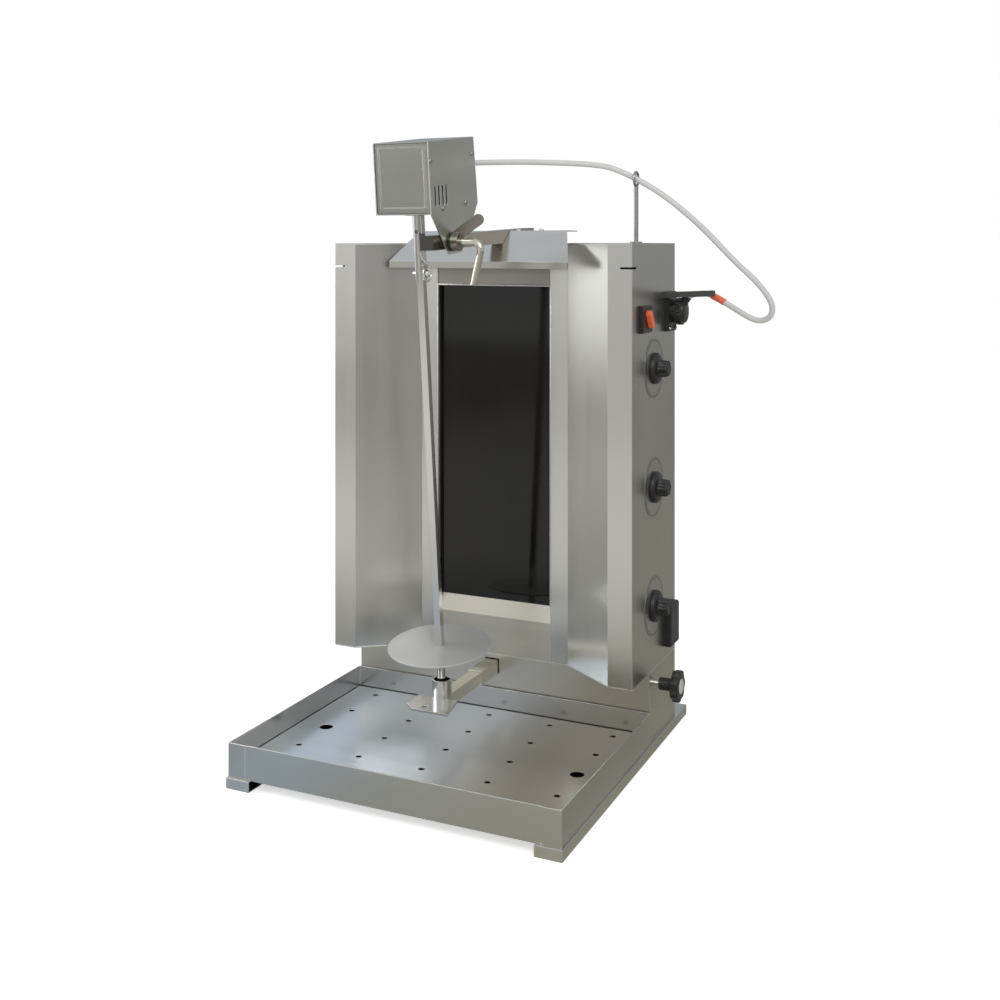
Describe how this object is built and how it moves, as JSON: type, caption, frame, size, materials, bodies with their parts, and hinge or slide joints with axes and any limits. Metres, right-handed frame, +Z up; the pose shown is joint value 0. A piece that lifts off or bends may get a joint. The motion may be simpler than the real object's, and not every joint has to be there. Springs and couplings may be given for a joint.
{
  "type": "doner kebab grill",
  "caption": "Countertop electric vertical grill: steel cabinet with flared wings and heater window, leaning spit driven by a motor head, drip tray on rails.",
  "frame": {"origin": "middle of the grill's footprint on the surface that it stands on, without the motor cable", "axes": "+Z up, +X to the control side, -Y to the front"},
  "size_m": [0.6746, 0.536, 0.9127],
  "materials": {
    "brushed_steel": "brushed",
    "polished_steel": "polished",
    "dark_glass": "gloss",
    "heater_tray": "satin",
    "heater_rod": "matte",
    "motor_casting": "matte",
    "black_plastic": "satin",
    "red_plastic": "satin",
    "grey_cable": "matte"
  },
  "bodies": {
    "root": {"base_rail_left": "brushed_steel", "base_rail_right": "brushed_steel", "pedestal_shell": "brushed_steel", "pedestal_floor": "brushed_steel", "lower_arm_sleeve": "brushed_steel", "sleeve_stand": "brushed_steel", "case_floor": "brushed_steel", "case_top": "brushed_steel", "case_back": "brushed_steel", "side_panel_left": "brushed_steel", "side_panel_right": "brushed_steel", "wing_left": "brushed_steel", "wing_right": "brushed_steel", "frame_strip_left": "brushed_steel", "frame_strip_right": "brushed_steel", "header_panel": "brushed_steel", "lower_panel": "brushed_steel", "heat_glass": "dark_glass", "heater_tray": "heater_tray", "heater_top": "heater_rod", "heater_middle": "heater_rod", "heater_bottom": "heater_rod", "hood_visor": "brushed_steel", "upper_arm": "brushed_steel", "arm_saddle": "brushed_steel", "pivot_bolt": "polished_steel", "cable_hook": "brushed_steel", "heat_regulators": "black_plastic", "dial_plates": "brushed_steel", "switch_base": "black_plastic", "socket_housing": "black_plastic", "cable_bar": "black_plastic", "mains_inlet_cover": "black_plastic", "case_screws": "polished_steel", "motor_cable": "grey_cable", "cable_sleeve": "red_plastic", "motor_plug": "black_plastic"},
    "head": {"head_shell": "brushed_steel", "head_side_left": "brushed_steel", "head_side_right": "brushed_steel", "head_front_panel": "brushed_steel", "gear_motor": "motor_casting", "head_screws": "polished_steel", "head_gland": "black_plastic"},
    "spit": {"drive_coupling": "polished_steel", "spit_rod": "polished_steel", "spit_disc": "polished_steel"},
    "pin": {"retaining_pin": "polished_steel"},
    "lower_arm": {"lower_arm_tube": "brushed_steel", "spit_cup": "polished_steel", "cup_plate": "polished_steel"},
    "star_clamp": {"star_knob": "black_plastic", "clamp_screw": "polished_steel"},
    "head_clamp": {"clamp_lever": "polished_steel"},
    "drip_tray": {"drip_tray": "brushed_steel"},
    "drip_plate": {"drip_plate": "brushed_steel"},
    "knob_top": {"heat_knob_top": "black_plastic"},
    "knob_middle": {"heat_knob_middle": "black_plastic"},
    "knob_bottom": {"heat_knob_bottom": "black_plastic"},
    "switch": {"switch_lever": "red_plastic"}
  },
  "joints": [
    {"name": "head_tilt", "type": "hinge", "parent": "root", "child": "head", "pos_m": [-0.0173, -0.13628, 0.76065], "axis": [-1, 0, 0], "range_deg": [-2.6, 6.2], "deforming": ["motor_cable"]},
    {"name": "lower_arm_slide", "type": "slide", "parent": "root", "child": "lower_arm", "axis": [0, -1, 0], "range_m": [-0.03, 0.0705]},
    {"name": "spit_spin", "type": "hinge", "parent": "head", "child": "spit", "pos_m": [-0.0485, -0.1542, 0.801], "axis": [0, -0.1045, 0.9945], "continuous": true},
    {"name": "pin_pull", "type": "slide", "parent": "spit", "child": "pin", "axis": [1, 0, 0], "range_m": [0, 0.026]},
    {"name": "star_clamp_turn", "type": "hinge", "parent": "root", "child": "star_clamp", "pos_m": [0.2095, 0.111, 0.1], "axis": [-1, 0, 0], "range_deg": [0, 180]},
    {"name": "head_clamp_turn", "type": "hinge", "parent": "root", "child": "head_clamp", "pos_m": [-0.0173, -0.13628, 0.76065], "axis": [-1, 0, 0], "range_deg": [-60, 60]},
    {"name": "drip_tray_slide", "type": "slide", "parent": "root", "child": "drip_tray", "axis": [0, -1, 0], "range_m": [0, 0.3]},
    {"name": "drip_plate_lift", "type": "slide", "parent": "drip_tray", "child": "drip_plate", "axis": [0, 0, 1], "range_m": [0, 0.05]},
    {"name": "switch_turn", "type": "hinge", "parent": "root", "child": "switch", "pos_m": [0.2095, 0.06, 0.6475], "axis": [-1, 0, 0], "range_deg": [0, 90]},
    {"name": "knob_bottom_turn", "type": "hinge", "parent": "root", "child": "knob_bottom", "pos_m": [0.2095, 0.11, 0.2153], "axis": [-1, 0, 0], "range_deg": [0, 270]},
    {"name": "knob_middle_turn", "type": "hinge", "parent": "root", "child": "knob_middle", "pos_m": [0.2095, 0.11, 0.3933], "axis": [-1, 0, 0], "range_deg": [0, 270]},
    {"name": "knob_top_turn", "type": "hinge", "parent": "root", "child": "knob_top", "pos_m": [0.2095, 0.11, 0.5713], "axis": [-1, 0, 0], "range_deg": [0, 270]}
  ],
  "couplings": [
    {"joint": "lower_arm_slide", "follows": "head_tilt", "m_per_rad": 0.6447}
  ]
}
